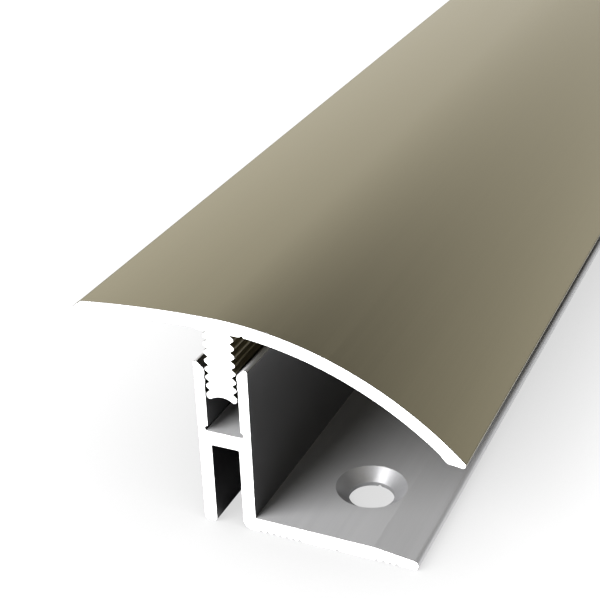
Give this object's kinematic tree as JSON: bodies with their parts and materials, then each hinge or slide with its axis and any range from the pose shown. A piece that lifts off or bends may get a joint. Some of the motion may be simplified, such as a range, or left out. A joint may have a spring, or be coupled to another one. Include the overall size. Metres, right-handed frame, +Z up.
{
  "type": "threshold strip",
  "caption": "Height-adjustable ramped floor threshold strip: a screw-down base channel and a curved cover whose ribbed stem clips into it.",
  "frame": {"origin": "floor level, in the middle of the strip's length and of its overall width", "axes": "+X across the strip towards the toe of the ramp, +Y along the strip, +Z up from the floor"},
  "size_m": [0.044, 0.9, 0.0255],
  "materials": {
    "mill_aluminium": "satin mill finish with fine lengthwise drawing lines, bright sawn ends",
    "anodised_aluminium": "satin anodised in a light bronze sand colour, bright sawn ends"
  },
  "bodies": {
    "base": {"base_profile": "mill_aluminium"},
    "cover": {"cover_profile": "anodised_aluminium"}
  },
  "joints": [
    {"name": "height_adjust", "type": "slide", "parent": "base", "child": "cover", "axis": [0, 0, 1], "range_m": [-0.0037, 0.001]}
  ]
}
